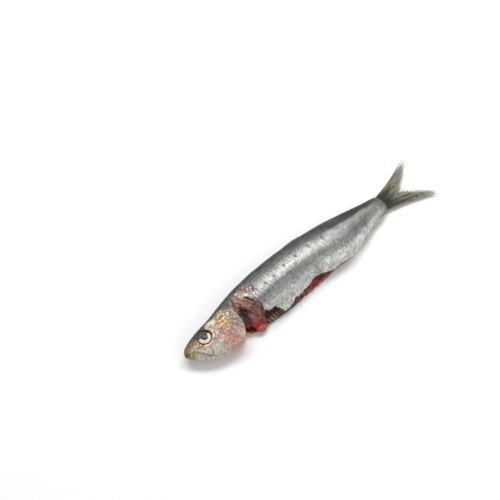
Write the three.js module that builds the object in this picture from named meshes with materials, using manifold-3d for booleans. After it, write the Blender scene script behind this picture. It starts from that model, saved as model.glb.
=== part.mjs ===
// A small gutted sardine lying on its right side, in millimetres, +Z up.
// While it is drawn, X runs from the snout towards the tail and +Y towards the back,
// so the left flank faces up. The finished group is moved to stand on z = 0 about its middle.
import * as THREE from "three";
import { mergeVertices } from "three/addons/utils/BufferGeometryUtils.js";
import Module from "manifold-3d";

// ---- Driving dimensions ----

const SNOUT_X = -0.4;
const TAIL_BASE_X = 136;

// Each line pairs a distance from the snout with a height or thickness there.
const BACK_LINE = [
  [SNOUT_X, -0.9], [1.4, 1.7], [5, 3.4], [11, 5.2], [21, 7.0], [33, 10.0],
  [42, 11.8], [52, 12.9], [65, 13.6], [77, 13.6], [90, 13.3], [102, 12.5],
  [112, 11.2], [124, 9.4], [TAIL_BASE_X, 8.0],
];
const BELLY_LINE = [
  [SNOUT_X, -1.5], [1, -3.9], [4.2, -7.2], [8, -10.2], [13, -12.4], [20, -13.9],
  [27, -14.4], [40, -13.4], [58, -13.3], [75, -12.2], [88, -11.7], [98, -11.9],
  [106, -10.3], [115, -7.2], [124, -4.3], [TAIL_BASE_X, -2.4],
];
const HALF_THICKNESS = [
  [SNOUT_X, 0.8], [3, 2.4], [8, 3.9], [14, 5.1], [20, 6.0], [27, 6.8], [36, 7.1],
  [50, 7.3], [65, 7.4], [80, 7.0], [95, 6.1], [108, 4.8], [120, 3.6], [TAIL_BASE_X, 2.2],
];
const MIDDLE_HEIGHT = [
  [SNOUT_X, 5.4], [12, 5.8], [30, 6.4], [60, 6.7], [80, 6.4], [95, 5.5], [108, 4.4],
  [120, 3.3], [TAIL_BASE_X, 2.1], [165, 1.0],
];
// The emptied belly sinks towards the table.
const BELLY_SAG = [[30, 0], [40, 3.4], [48, 5.2], [62, 5.8], [80, 5.0], [92, 2.2], [104, 0]];

const GAP = 0.3;
const BELOW_FISH = -2;
const ABOVE_FISH = 20;
const KEEL_TAPER = 0.14;
const THINNEST_HALF = 0.25;
const STATION_STEP = 4.4;
const RING_POINTS = 28;
const SPLINE_STEPS = 2;
// Stations over the snout are this much closer together than at the tail.
const SNOUT_CROWDING = 0.55;

const COVER_THICKNESS = 1.1;
const MAXILLA_THICKNESS = 0.9;
const GILL_THICKNESS = 1.9;
const SLIT_DEPTH = 3.2;
const BELLY_WALL = 1.6;

const EYE = { x: 12.3, y: -0.9, radius: 3.7, halfDepth: 1.7, proud: 0.35 };

const GILL_COVER_OUTLINE = [
  [19.6, 1.4], [24, 3.0], [28.6, 1.6], [31, -2.4], [31.6, -7], [30.6, -11],
  [28, -13.6], [22.5, -13.9], [17.4, -12.9], [19.4, -9], [20.3, -4],
];
const GILL_OUTLINE = [
  [23.6, 0.2], [27.6, 0.4], [30.2, -3.2], [30.6, -7.4], [29.2, -10.6], [25.6, -11.8],
  [22.8, -8.4], [22.6, -3.6],
];
const MAXILLA_OUTLINE = [
  [2.6, -1.4], [6, -2.7], [9.4, -4.8], [11.4, -7.2], [10.4, -9.6], [8.6, -8.6], [6, -5.4],
];
const JAW_OUTLINE = [
  [-2, -1.7], [2.4, -2.5], [5.4, -5.4], [8.2, -8.6], [10.4, -10.4], [12.2, -12.4],
  [11.4, -15], [3, -11], [-2, -5],
];
const SLIT_OUTLINE = [
  [31.4, 3.2], [35.4, 7.2], [38.8, 6], [40.4, 1], [41.8, -4], [42.4, -8], [42.6, -16],
  [34, -17], [31.2, -12], [32.2, -6],
];
const BELLY_OUTLINE = [
  [40, -4], [46, 0], [60, 1.4], [76, 0], [90, -3.4], [98, -8], [99, -18], [70, -20], [40, -20],
];
// Where the left belly wall is torn away, down to its ragged edge.
const TORN_EDGE = [
  [41.8, -5.4], [45.4, -7.8], [50.6, -8.8], [53, -11], [54.4, -12.7], [60, -11.5],
  [63.6, -10.2], [69, -9.4], [74, -8.2], [77.6, -5.8], [81, -6.6], [85.6, -7.9],
  [88.4, -10.2], [95, -10.4], [101, -10.9], [101.4, -18], [41.8, -18],
];

const TAIL_OUTLINE = [
  [136.6, 7.7], [142, 10], [149, 12.9], [156, 15.3], [162, 16.7], [162.2, 15], [159.2, 11.8],
  [155.4, 8.9], [151, 5.4], [148, 2.6], [151.2, 0.2], [154.4, -2.8], [158.6, -6], [162.6, -9.6],
  [163.2, -11.3], [159.4, -11.6], [153, -9.9], [146.6, -7.1], [140.6, -4.4], [136.6, -2.2],
];
const TAIL_ROOT_HALF = 0.9;
const TAIL_TIP_HALF = 0.35;

const DORSAL_FIN = { start: 62, end: 88, height: 1.5, halfThickness: 0.55 };
const ANAL_FIN = { start: 108, end: 131, height: 1.2, halfThickness: 0.5 };

const THROAT = { x: 39.2, y: -11.3, z: 2.7, radii: [3.7, 2.8, 2.2] };

const COLOURS = {
  skin: { color: 0xa9b1b5, roughness: 0.32, metalness: 0.6 },
  bone: { color: 0xd6b3a4, roughness: 0.38, metalness: 0.35 },
  jaw: { color: 0xc9c09a, roughness: 0.4, metalness: 0.3 },
  eye: { color: 0x39414a, roughness: 0.12, metalness: 0.1 },
  gill: { color: 0x5e1c18, roughness: 0.45, metalness: 0 },
  flesh: { color: 0xa83a33, roughness: 0.35, metalness: 0 },
  fin: { color: 0x78776a, roughness: 0.5, metalness: 0.1 },
};

// ---- Curves and lofts ----

// Height of a smooth line through [x, value] pairs.
function along(line, x) {
  const last = line.length - 1;
  if (x <= line[0][0]) return line[0][1];
  if (x >= line[last][0]) return line[last][1];
  const i = line.findIndex(([end]) => x < end) - 1;
  const slope = (a, b) => (line[b][1] - line[a][1]) / (line[b][0] - line[a][0]);
  const slopeAt = (k) => slope(Math.max(k - 1, 0), Math.min(k + 1, last));
  const width = line[i + 1][0] - line[i][0];
  const t = (x - line[i][0]) / width;
  const ease = t * t * (3 - 2 * t);
  const leave = slopeAt(i) * width * t * (1 - t) * (1 - t);
  const arrive = slopeAt(i + 1) * width * t * t * (1 - t);
  return line[i][1] * (1 - ease) + line[i + 1][1] * ease + leave - arrive;
}

// A point of the skin at distance x, where turn 0 is the left flank and a quarter turn the back.
// A positive inset moves it inwards from the skin.
function skinPoint(x, turn, inset) {
  const back = along(BACK_LINE, x) - inset;
  const belly = along(BELLY_LINE, x) + inset;
  const halfHeight = Math.max((back - belly) / 2, THINNEST_HALF);
  const half = Math.max(along(HALF_THICKNESS, x) - inset, THINNEST_HALF);
  const rise = Math.sin(turn);
  const sag = along(BELLY_SAG, x) * Math.max(-rise, 0) ** 2;
  const y = (back + belly) / 2 + halfHeight * rise;
  const z = along(MIDDLE_HEIGHT, x) - sag + half * Math.cos(turn) * (1 + KEEL_TAPER * rise);
  return new THREE.Vector3(x, y, Math.max(z, inset));
}

// A closed tube through rings of points, with a fan at each end.
function loft(rings) {
  const count = rings[0].length;
  const positions = [];
  const index = [];
  for (const ring of rings) {
    for (const point of ring) positions.push(...point.toArray());
  }
  for (let r = 0; r + 1 < rings.length; r++) {
    for (let k = 0; k < count; k++) {
      const a = r * count + k;
      const b = r * count + ((k + 1) % count);
      index.push(a, a + count, b, b, a + count, b + count);
    }
  }
  for (const r of [0, rings.length - 1]) {
    const middle = new THREE.Vector3();
    for (const point of rings[r]) middle.addScaledVector(point, 1 / count);
    const hub = positions.length / 3;
    positions.push(...middle.toArray());
    for (let k = 0; k < count; k++) {
      const a = r * count + k;
      const b = r * count + ((k + 1) % count);
      index.push(...(r === 0 ? [hub, a, b] : [hub, b, a]));
    }
  }
  const geometry = new THREE.BufferGeometry();
  geometry.setAttribute("position", new THREE.Float32BufferAttribute(positions, 3));
  geometry.setIndex(index);
  return geometry;
}

// The whole fish without fins, shrunk inwards by inset.
function fishForm(inset) {
  const start = SNOUT_X + inset;
  const length = TAIL_BASE_X - 2 * inset - SNOUT_X;
  const steps = Math.round(length / STATION_STEP);
  const rings = [];
  for (let i = 0; i <= steps; i++) {
    const share = i / steps;
    const crowding = THREE.MathUtils.mapLinear(Math.min(share * 3, 1), 0, 1, SNOUT_CROWDING, 1);
    const x = start + length * share * crowding;
    const ring = [];
    for (let k = 0; k < RING_POINTS; k++) {
      ring.push(skinPoint(x, (2 * Math.PI * k) / RING_POINTS, inset));
    }
    rings.push(ring);
  }
  return loft(rings);
}

// ---- Solids ----

const wasm = await Module();
wasm.setup();

function solid(geometry) {
  const bare = geometry.clone();
  bare.deleteAttribute("normal");
  bare.deleteAttribute("uv");
  const merged = mergeVertices(bare, 1e-4);
  const mesh = new wasm.Mesh({
    numProp: 3,
    vertProperties: merged.attributes.position.array,
    triVerts: new Uint32Array(merged.index.array),
  });
  return new wasm.Manifold(mesh);
}

function geometryOf(body) {
  const mesh = body.getMesh();
  const positions = new Float32Array(mesh.numVert * 3);
  for (let i = 0; i < mesh.numVert; i++) {
    const start = i * mesh.numProp;
    positions.set(mesh.vertProperties.subarray(start, start + 3), i * 3);
  }
  const geometry = new THREE.BufferGeometry();
  geometry.setAttribute("position", new THREE.BufferAttribute(positions, 3));
  geometry.setIndex(new THREE.BufferAttribute(mesh.triVerts, 1));
  geometry.computeVertexNormals();
  return geometry;
}

// The outline moved outwards from its own middle by a margin.
function grown(outline, margin) {
  const middle = new THREE.Vector2();
  for (const [x, y] of outline) middle.add(new THREE.Vector2(x, y).divideScalar(outline.length));
  return outline.map(([x, y]) => {
    const arm = new THREE.Vector2(x, y).sub(middle);
    arm.setLength(arm.length() + margin);
    return arm.add(middle).toArray();
  });
}

// A straight-sided block over an outline, from low to high.
function block(outline, low, high, smooth = true) {
  const points = outline.map(([x, y]) => new THREE.Vector2(x, y));
  const shape = new THREE.Shape();
  shape.moveTo(points[0].x, points[0].y);
  if (smooth) shape.splineThru([...points.slice(1), points[0]]);
  else points.slice(1).forEach((point) => shape.lineTo(point.x, point.y));
  const options = { depth: high - low, bevelEnabled: false, curveSegments: SPLINE_STEPS };
  const geometry = new THREE.ExtrudeGeometry(shape, options);
  geometry.translate(0, 0, low);
  return solid(geometry);
}

// The heights that hold each side's plates, which stop short of the middle of the head.
const LEFT = { low: 6.23, high: ABOVE_FISH, sign: 1 };
const RIGHT = { low: BELOW_FISH, high: 5.83, sign: -1 };

// The layer of the fish between two depths under the skin.
function layer(outer, inner) {
  return solid(fishForm(outer)).subtract(solid(fishForm(inner)));
}

// A curved plate that follows the side of the head.
function plate(outline, side, outer, inner) {
  return layer(outer, inner).intersect(block(outline, side.low, side.high));
}

function eyeball(side, margin) {
  const surface = skinPoint(EYE.x, 0, 0).z - along(MIDDLE_HEIGHT, EYE.x);
  const offset = (surface - EYE.halfDepth + EYE.proud) * side.sign;
  const geometry = new THREE.SphereGeometry(1, 24, 14);
  geometry.rotateX(Math.PI / 2);
  geometry.scale(EYE.radius + margin, EYE.radius + margin, EYE.halfDepth + margin);
  geometry.translate(EYE.x, EYE.y, along(MIDDLE_HEIGHT, EYE.x) + offset);
  return solid(geometry);
}

function jawBlock(margin) {
  return block(grown(JAW_OUTLINE, margin), BELOW_FISH, ABOVE_FISH);
}

function throatFlesh(margin) {
  const geometry = new THREE.IcosahedronGeometry(1, 3);
  geometry.scale(...THROAT.radii.map((radius) => radius + margin));
  geometry.translate(THROAT.x, THROAT.y, THROAT.z);
  return solid(geometry);
}

function body() {
  const coverBed = COVER_THICKNESS + GAP;
  const chamberFloor = coverBed + GILL_THICKNESS + 2 * GAP;
  let fish = solid(fishForm(0)).subtract(jawBlock(GAP));
  for (const side of [LEFT, RIGHT]) {
    const reach = { low: side.low - GAP, high: side.high + GAP };
    fish = fish
      .subtract(plate(grown(GILL_COVER_OUTLINE, GAP), reach, -1, coverBed))
      .subtract(plate(grown(GILL_OUTLINE, GAP * 1.5), side, 0, chamberFloor))
      .subtract(plate(grown(MAXILLA_OUTLINE, GAP), reach, -1, MAXILLA_THICKNESS + GAP))
      .subtract(eyeball(side, GAP));
  }
  const hollow = block(BELLY_OUTLINE, BELOW_FISH, ABOVE_FISH).intersect(solid(fishForm(BELLY_WALL)));
  return fish
    .subtract(plate(SLIT_OUTLINE, { low: BELLY_WALL, high: ABOVE_FISH }, -1, SLIT_DEPTH))
    .subtract(hollow)
    .subtract(block(TORN_EDGE, BELLY_WALL, ABOVE_FISH, false))
    .subtract(throatFlesh(GAP));
}

// ---- Fins ----

// Gives a flat block its taper and lays it along the middle of the fish.
function layFin(geometry, halfAt) {
  const position = geometry.attributes.position;
  for (let i = 0; i < position.count; i++) {
    const x = position.getX(i);
    const side = position.getZ(i) > 0.5 ? 1 : -1;
    position.setZ(i, along(MIDDLE_HEIGHT, x) + side * halfAt(x));
  }
  return geometry;
}

function flatShape(outline) {
  const shape = new THREE.Shape(outline.map(([x, y]) => new THREE.Vector2(x, y)));
  return new THREE.ExtrudeGeometry(shape, { depth: 1, bevelEnabled: false });
}

function tailFin() {
  const root = TAIL_OUTLINE[0][0];
  const tip = Math.max(...TAIL_OUTLINE.map(([x]) => x));
  const taper = (x) => THREE.MathUtils.mapLinear(x, root, tip, TAIL_ROOT_HALF, TAIL_TIP_HALF);
  return solid(layFin(flatShape(TAIL_OUTLINE), taper));
}

// A low fin folded along a body line, outside it on the side that sign gives.
function foldedFin(fin, line, sign) {
  const steps = 12;
  const inner = [];
  const outer = [];
  for (let i = 0; i <= steps; i++) {
    const share = i / steps;
    const x = fin.start + (fin.end - fin.start) * share;
    const height = 0.25 + fin.height * Math.sin(Math.PI * share ** 0.8);
    const edge = along(line, x) + sign * GAP;
    inner.push([x, edge]);
    outer.unshift([x + 1.5 * share, edge + sign * height]);
  }
  const outline = [...inner, ...outer];
  return solid(layFin(flatShape(outline), () => fin.halfThickness));
}

// ---- The fish ----

const sardine = new THREE.Group();

function addPiece(name, colour, shape) {
  const mesh = new THREE.Mesh(geometryOf(shape), new THREE.MeshStandardMaterial(colour));
  mesh.name = name;
  sardine.add(mesh);
}

addPiece("body", COLOURS.skin, body());
addPiece("lower_jaw", COLOURS.jaw, solid(fishForm(0)).intersect(jawBlock(0)));
for (const [name, side] of [["left", LEFT], ["right", RIGHT]]) {
  const gillTop = COVER_THICKNESS + 2 * GAP;
  addPiece(`${name}_eye`, COLOURS.eye, eyeball(side, 0));
  addPiece(`${name}_gill_cover`, COLOURS.bone, plate(GILL_COVER_OUTLINE, side, 0, COVER_THICKNESS));
  addPiece(`${name}_maxilla`, COLOURS.bone, plate(MAXILLA_OUTLINE, side, 0, MAXILLA_THICKNESS));
  const gills = plate(GILL_OUTLINE, side, gillTop, gillTop + GILL_THICKNESS);
  addPiece(`${name}_gills`, COLOURS.gill, gills);
}
addPiece("throat_flesh", COLOURS.flesh, throatFlesh(0));
addPiece("tail_fin", COLOURS.fin, tailFin());
addPiece("dorsal_fin", COLOURS.fin, foldedFin(DORSAL_FIN, BACK_LINE, 1));
addPiece("anal_fin", COLOURS.fin, foldedFin(ANAL_FIN, BELLY_LINE, -1));

const extent = new THREE.Box3().setFromObject(sardine);
const middle = extent.getCenter(new THREE.Vector3());
sardine.position.set(-middle.x, -middle.y, -extent.min.z);

export default sardine;
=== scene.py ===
"""A gutted sardine lying on its right side: skin, head, torn belly, fins and light around the CAD frame."""

import math
from itertools import product

import bpy
import numpy as np
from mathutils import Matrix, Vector

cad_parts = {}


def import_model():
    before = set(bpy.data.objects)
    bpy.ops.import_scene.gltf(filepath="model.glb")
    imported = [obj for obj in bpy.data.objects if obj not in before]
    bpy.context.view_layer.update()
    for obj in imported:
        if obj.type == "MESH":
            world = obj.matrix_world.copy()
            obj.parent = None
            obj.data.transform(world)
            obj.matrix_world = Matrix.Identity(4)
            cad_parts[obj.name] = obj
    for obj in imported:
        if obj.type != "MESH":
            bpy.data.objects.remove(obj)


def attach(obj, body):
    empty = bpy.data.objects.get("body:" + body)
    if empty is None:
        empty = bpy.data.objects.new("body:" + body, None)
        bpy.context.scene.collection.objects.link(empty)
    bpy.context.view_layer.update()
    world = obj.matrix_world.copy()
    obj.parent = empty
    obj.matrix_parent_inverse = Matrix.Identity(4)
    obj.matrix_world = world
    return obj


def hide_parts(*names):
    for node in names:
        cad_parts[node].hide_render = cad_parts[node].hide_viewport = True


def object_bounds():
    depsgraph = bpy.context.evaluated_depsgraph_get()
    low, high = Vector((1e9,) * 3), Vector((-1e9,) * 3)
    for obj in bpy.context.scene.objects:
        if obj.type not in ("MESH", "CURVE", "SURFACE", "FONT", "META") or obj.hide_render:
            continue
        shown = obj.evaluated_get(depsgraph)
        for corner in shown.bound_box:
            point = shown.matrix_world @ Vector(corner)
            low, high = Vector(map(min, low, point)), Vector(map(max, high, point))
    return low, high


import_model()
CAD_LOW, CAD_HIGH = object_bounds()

# ---- The fish's own measures, in millimetres from the snout, as in the CAD source ----

MM = 0.001
SNOUT_X = -0.4
TAIL_BASE_X = 136
TAIL_TOP_Y = 16.7

# Where the fish's own zero lies in the frame: the box touches the snout and the upper tail tip.
ORIGIN = np.array([CAD_LOW.x / MM - SNOUT_X, CAD_HIGH.y / MM - TAIL_TOP_Y, CAD_LOW.z / MM])

BACK_LINE = [
    (SNOUT_X, -0.9), (1.4, 1.7), (5, 3.4), (11, 5.2), (21, 7.0), (33, 10.0), (42, 11.8),
    (52, 12.9), (65, 13.6), (77, 13.6), (90, 13.3), (102, 12.5), (112, 11.2), (124, 9.4),
    (TAIL_BASE_X, 8.0),
]
BELLY_LINE = [
    (SNOUT_X, -1.5), (1, -3.9), (4.2, -7.2), (8, -10.2), (13, -12.4), (20, -13.9), (27, -14.4),
    (40, -13.4), (58, -13.3), (75, -12.2), (88, -11.7), (98, -11.9), (106, -10.3), (115, -7.2),
    (124, -4.3), (TAIL_BASE_X, -2.4),
]
HALF_THICKNESS = [
    (SNOUT_X, 0.8), (3, 2.4), (8, 3.9), (14, 5.1), (20, 6.0), (27, 6.8), (36, 7.1), (50, 7.3),
    (65, 7.4), (80, 7.0), (95, 6.1), (108, 4.8), (120, 3.6), (TAIL_BASE_X, 2.2),
]
MIDDLE_HEIGHT = [
    (SNOUT_X, 5.4), (12, 5.8), (30, 6.4), (60, 6.7), (80, 6.4), (95, 5.5), (108, 4.4),
    (120, 3.3), (TAIL_BASE_X, 2.1), (165, 1.0),
]
BELLY_SAG = [(30, 0), (40, 3.4), (48, 5.2), (62, 5.8), (80, 5.0), (92, 2.2), (104, 0)]
KEEL_TAPER = 0.14

EYE_X, EYE_Y, EYE_RADIUS = 12.3, -0.9, 3.7

# Outlines on the flank, seen from above.
GILL_COVER = [
    (19.6, 1.4), (24, 3.0), (28.6, 1.6), (31, -2.4), (31.5, -6.6), (30.2, -10.4), (27.2, -13.1),
    (22.5, -13.8), (17.4, -12.9), (19.4, -9), (20.3, -4),
]
MAXILLA = [
    (2.6, -1.4), (6, -2.7), (9.4, -4.8), (11.4, -7.2), (10.4, -9.6), (8.6, -8.6), (6, -5.4),
]
JAW = [
    (-2, -1.7), (2.4, -2.5), (5.4, -5.4), (8.2, -8.6), (10.4, -10.4), (12.2, -12.4),
    (11.4, -15), (3, -11), (-2, -5),
]
SLIT = [
    (32.0, 0.6), (34.0, 4.2), (36.2, 6.6), (38.6, 5.4), (40.6, 1.6), (43.4, -2.0), (45.0, -5.2),
    (44.6, -8.2), (43.2, -16), (34, -17), (30.6, -12), (31.8, -6),
]
THROAT_NOTCH = [
    (31.4, -8.6), (32.8, -9.8), (33.8, -12.2), (34.4, -17), (25.5, -17), (28.2, -13.4), (30.4, -11),
]
PEELED = [
    (37.6, 6.6), (41, 7.6), (45.2, 7.6), (46.6, 4.6), (46.2, 1.0), (44.6, -2.4), (42.6, -5.4),
    (40.6, -2.2), (39.2, 2.0),
]
BELLY_HOLLOW = [
    (46.0, -6), (49, -1.6), (60, 1.4), (76, 0), (90, -3.4), (98, -8), (99, -18), (70, -20), (44, -20),
]
TORN_EDGE = [
    (43.6, -7.4), (45.8, -8.6), (50.6, -9.6), (53, -11.4), (54.6, -13.2), (57.4, -12.8),
    (60.6, -12.0), (63.6, -11.2), (67, -11.0), (70.6, -10.8), (74.0, -10.4), (76.4, -9.3),
    (79.6, -9.1), (83.0, -10.2), (86.4, -10.8), (89.4, -11.2), (95, -11.3), (101, -11.6),
]

BODY_STEP, HEAD_STEP = 0.37, 0.2
SEAM = 0.05
LAP = 0.25
BELLY_WALL = 1.5
BELLY_GAP = 1.1
COVER_THICKNESS, MAXILLA_THICKNESS = 0.95, 0.6
LINE_PITCH = 1.08
GILL_ARCHES, GILL_FILAMENTS = 3, 34
RIBS, SHREDS = 15, 64


# ---- Numbers: lines, noise, outlines and soft joins ----

def along(line, x):
    """Heights at x of a smooth line through (x, value) pairs."""
    knots, values = np.array(line, float).T
    x = np.clip(x, knots[0], knots[-1])
    last = len(knots) - 1
    after = np.minimum(np.arange(last + 1) + 1, last)
    before = np.maximum(np.arange(last + 1) - 1, 0)
    slopes = (values[after] - values[before]) / (knots[after] - knots[before])
    i = np.clip(np.searchsorted(knots, x, side="right") - 1, 0, last - 1)
    width = knots[i + 1] - knots[i]
    t = (x - knots[i]) / width
    ease = t * t * (3 - 2 * t)
    leave = slopes[i] * width * t * (1 - t) ** 2
    arrive = slopes[i + 1] * width * t * t * (1 - t)
    return values[i] * (1 - ease) + values[i + 1] * ease + leave - arrive


def smoothstep(value, start, end):
    """0 up to start, easing to 1 at end."""
    t = np.clip((value - start) / (end - start), 0, 1)
    return t * t * (3 - 2 * t)


def before(value, start, end):
    """1 up to start, easing to 0 at end."""
    return smoothstep(-value, -end, -start)


def noise(points, size, seed):
    """Smooth noise from -1 to 1 over points in millimetres, with lumps about size long."""
    p = np.asarray(points, float) / size
    cell = np.floor(p).astype(np.int64)
    f = p - cell
    f = f * f * (3 - 2 * f)
    total = np.zeros(p.shape[:-1])
    for corner in product((0, 1), repeat=3):
        c = cell + corner
        key = (c[..., 0] * 73856093) ^ (c[..., 1] * 19349663) ^ (c[..., 2] * 83492791)
        key = (key ^ (seed * 668265263)) & 0xFFFFFFFF
        key = ((key ^ (key >> 15)) * 2246822519) & 0xFFFFFFFF
        key = ((key ^ (key >> 13)) * 3266489917) & 0xFFFFFFFF
        value = (key ^ (key >> 16)) / 2**31 - 1
        total += value * np.prod(np.where(corner, f, 1 - f), axis=-1)
    return total


def layered_noise(points, size, seed):
    """Noise with two finer layers over it, each at half the size and strength."""
    return sum(noise(points, size / 2**k, seed + k) / 2**k for k in range(3)) / 1.75


def closed_curve(outline, steps=6):
    """A smooth closed line through the outline's points."""
    p = np.array(outline, float)
    a, b, c, d = np.roll(p, 1, 0), p, np.roll(p, -1, 0), np.roll(p, -2, 0)
    t = (np.arange(steps) / steps)[None, :, None]
    a, b, c, d = (q[:, None, :] for q in (a, b, c, d))
    curve = b + 0.5 * t * (c - a + t * (2 * a - 5 * b + 4 * c - d + t * (3 * (b - c) + d - a)))
    return curve.reshape(-1, 2)


def outline_distance(outline, x, y):
    """Distance in the plane to a closed outline, negative inside it."""
    p = closed_curve(outline)
    nearest = np.full(x.shape, np.inf)
    inside = np.zeros(x.shape, bool)
    for (ax, ay), (bx, by) in zip(p, np.roll(p, -1, 0)):
        dx, dy = bx - ax, by - ay
        share = np.clip(((x - ax) * dx + (y - ay) * dy) / max(dx * dx + dy * dy, 1e-9), 0, 1)
        nearest = np.minimum(nearest, (x - ax - share * dx) ** 2 + (y - ay - share * dy) ** 2)
        if ay != by:
            crosses = (ay > y) != (by > y)
            inside ^= crosses & (x < ax + (y - ay) * dx / dy)
    return np.where(inside, -1, 1) * np.sqrt(nearest)


def both(a, b, round_off):
    """Where both solids are, with a rounded crease."""
    blend = np.clip(0.5 + 0.5 * (a - b) / round_off, 0, 1)
    return b * (1 - blend) + a * blend + round_off * blend * (1 - blend)


def without(a, b, round_off):
    """The solid a with b cut out of it."""
    return both(a, -b, round_off)


def either(a, b, round_off):
    """The two solids as one."""
    return -both(-a, -b, round_off)


# ---- The fish's form ----

def section(x, y):
    """How far y lies from the middle of the fish at x: -1 at the belly line and 1 at the back."""
    back, belly = along(BACK_LINE, x), along(BELLY_LINE, x)
    return (y - (back + belly) / 2) / ((back - belly) / 2)


def middle_height(x, rise):
    """How high the middle of the body lies over the table; the emptied belly sags."""
    return along(MIDDLE_HEIGHT, x) - along(BELLY_SAG, x) * np.clip(-rise, 0, 1.2) ** 2


def girth(x, y, z):
    """How many times further out than the skin a point lies: under 1 is inside."""
    rise = section(x, y)
    half = along(HALF_THICKNESS, x) * (1 + KEEL_TAPER * np.clip(rise, -1.1, 1.1))
    return np.sqrt(rise**2 + ((z - middle_height(x, rise)) / half) ** 2)


class Field:
    """A box of sample points with the distance to the skin at each, negative inside."""

    def __init__(self, low, high, step):
        self.low, self.step = np.array(low, float), step
        count = np.ceil((np.array(high, float) - self.low) / step).astype(int) + 1
        axes = [self.low[k] + step * np.arange(count[k]) for k in range(3)]
        self.x, self.y, self.z = np.meshgrid(*axes, indexing="ij")
        self.flat_x, self.flat_y = self.x[:, :, 0], self.y[:, :, 0]
        shape = girth(self.x, self.y, self.z) - 1
        slope = np.sqrt(sum(g * g for g in np.gradient(shape, step)))
        # The nose is rounded off and the tail end tapers into the fin.
        self.skin = both(shape / np.maximum(slope, 0.02), SNOUT_X - self.x, 0.8)
        self.skin = both(self.skin, self.x - TAIL_BASE_X, 4.0)

    def points(self):
        return np.stack([self.x, self.y, self.z], -1)

    def plan(self, outline):
        """Distance to an outline seen from above, the same at every height."""
        return outline_distance(outline, self.flat_x, self.flat_y)[:, :, None]

    def sample(self, values, points):
        """Values at any points, between the samples."""
        p = (points - self.low) / self.step
        cell = np.clip(np.floor(p).astype(int), 0, np.array(values.shape) - 2)
        f = np.clip(p - cell, 0, 1)
        total = 0
        for corner in product((0, 1), repeat=3):
            i, j, k = (cell + corner).T
            total = total + values[i, j, k] * np.prod(np.where(corner, f, 1 - f), axis=-1)
        return total


# ---- Meshes ----

def surface(values, low, step):
    """Vertices and quads of the level where values pass zero, facing out of the negative side."""
    inside = values < 0
    shape = np.array(values.shape) - 1
    filled = np.zeros(shape, np.int8)
    for i, j, k in product((0, 1), repeat=3):
        filled += inside[i:i + shape[0], j:j + shape[1], k:k + shape[2]]
    cells = np.argwhere((filled > 0) & (filled < 8))
    number = np.full(shape, -1, np.int64)
    number[tuple(cells.T)] = np.arange(len(cells))
    total, hits = np.zeros((len(cells), 3)), np.zeros(len(cells))
    for axis in range(3):
        step_on = np.eye(3, dtype=int)[axis]
        for corner in product((0, 1), repeat=3):
            if corner[axis]:
                continue
            start = cells + corner
            a, b = values[tuple(start.T)], values[tuple((start + step_on).T)]
            crosses = (a < 0) != (b < 0)
            share = np.divide(a, a - b, out=np.zeros_like(a), where=crosses)
            total[crosses] += (start + share[:, None] * step_on)[crosses]
            hits[crosses] += 1
    vertices = low + step * total / hits[:, None]
    quads = []
    for axis in range(3):
        u, v = np.eye(3, dtype=int)[(axis + 1) % 3], np.eye(3, dtype=int)[(axis + 2) % 3]
        step_on = np.eye(3, dtype=int)[axis]
        a = inside[tuple(slice(0, -1) if k == axis else slice(1, -1) for k in range(3))]
        b = inside[tuple(slice(1, None) if k == axis else slice(1, -1) for k in range(3))]
        edges = np.argwhere(a != b) + 1 - step_on
        leaving = a[a != b]
        ring = [number[tuple((edges - shift).T)] for shift in (0 * u, u, u + v, v)]
        ring = np.stack(ring, 1)
        quads.append(np.where(leaving[:, None], ring, ring[:, ::-1]))
    return parted(vertices, largest_part(np.concatenate(quads), len(vertices)))


def linked(count, links):
    """For each of count things the lowest one that it is linked to, however far."""
    label = np.arange(count)
    while True:
        low = np.minimum(label[links[:, 0]], label[links[:, 1]])
        new = label.copy()
        np.minimum.at(new, links[:, 0], low)
        np.minimum.at(new, links[:, 1], low)
        new = new[new]
        if (new == label).all():
            return label
        label = new


def sheets_at(vertices, quads, sides):
    """The faces on four sides of one edge, two by two: each pair bounds the same solid."""
    forward, backward = list(sides[:len(sides) // 2]), list(sides[len(sides) // 2:])
    face, k = divmod(forward[0], 4)
    start, end = vertices[quads[face, k]], vertices[quads[face, (k + 1) % 4]]
    heading = (end - start) / np.linalg.norm(end - start)
    right = np.cross(heading, np.roll(heading, 1) + (0.3, 0.2, 0.1))
    right /= np.linalg.norm(right)
    up = np.cross(heading, right)

    def angle(side):
        out = vertices[quads[side // 4]].mean(0) - (start + end) / 2
        return math.atan2(out @ up, out @ right)

    pairs = []
    for other in backward:
        mate = min(forward, key=lambda side: (angle(side) - angle(other)) % (2 * math.pi))
        forward.remove(mate)
        pairs.append((mate, other))
    return pairs


def shared_edges(quads, points):
    """The sides of faces that share an edge: pairs of them, and longer runs where sheets touch."""
    a, b = quads.ravel(), np.roll(quads, -1, 1).ravel()
    key = np.minimum(a, b) * points + np.maximum(a, b)
    order = np.lexsort((a > b, key))
    first = np.flatnonzero(np.diff(key[order], prepend=-1))
    count = np.diff(np.append(first, len(key)))
    two = first[count == 2]
    runs = [order[at:at + size] for at, size in zip(first[count > 2], count[count > 2])]
    return np.stack([order[two], order[two + 1]], 1), runs


def largest_part(quads, points):
    """The faces without the crumbs and bubbles that touch the rest along an edge or not at all."""
    pairs, _ = shared_edges(quads, points)
    label = linked(len(quads), pairs // 4)
    names, counts = np.unique(label, return_counts=True)
    return quads[label == names[counts.argmax()]]


def parted(vertices, quads):
    """The mesh with each point where two sheets touch doubled, so that every edge has two faces."""
    pairs, runs = shared_edges(quads, len(vertices))
    pairs = [pairs] + [np.array(sheets_at(vertices, quads, run)) for run in runs]
    one, other = np.concatenate(pairs).T
    after = np.roll(np.arange(quads.size).reshape(-1, 4), -1, 1).ravel()
    links = np.concatenate([np.stack([one, after[other]], 1), np.stack([after[one], other], 1)])
    corners, index = np.unique(linked(quads.size, links), return_inverse=True)
    return vertices[quads.ravel()[corners]], index.reshape(-1, 4)


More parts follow.
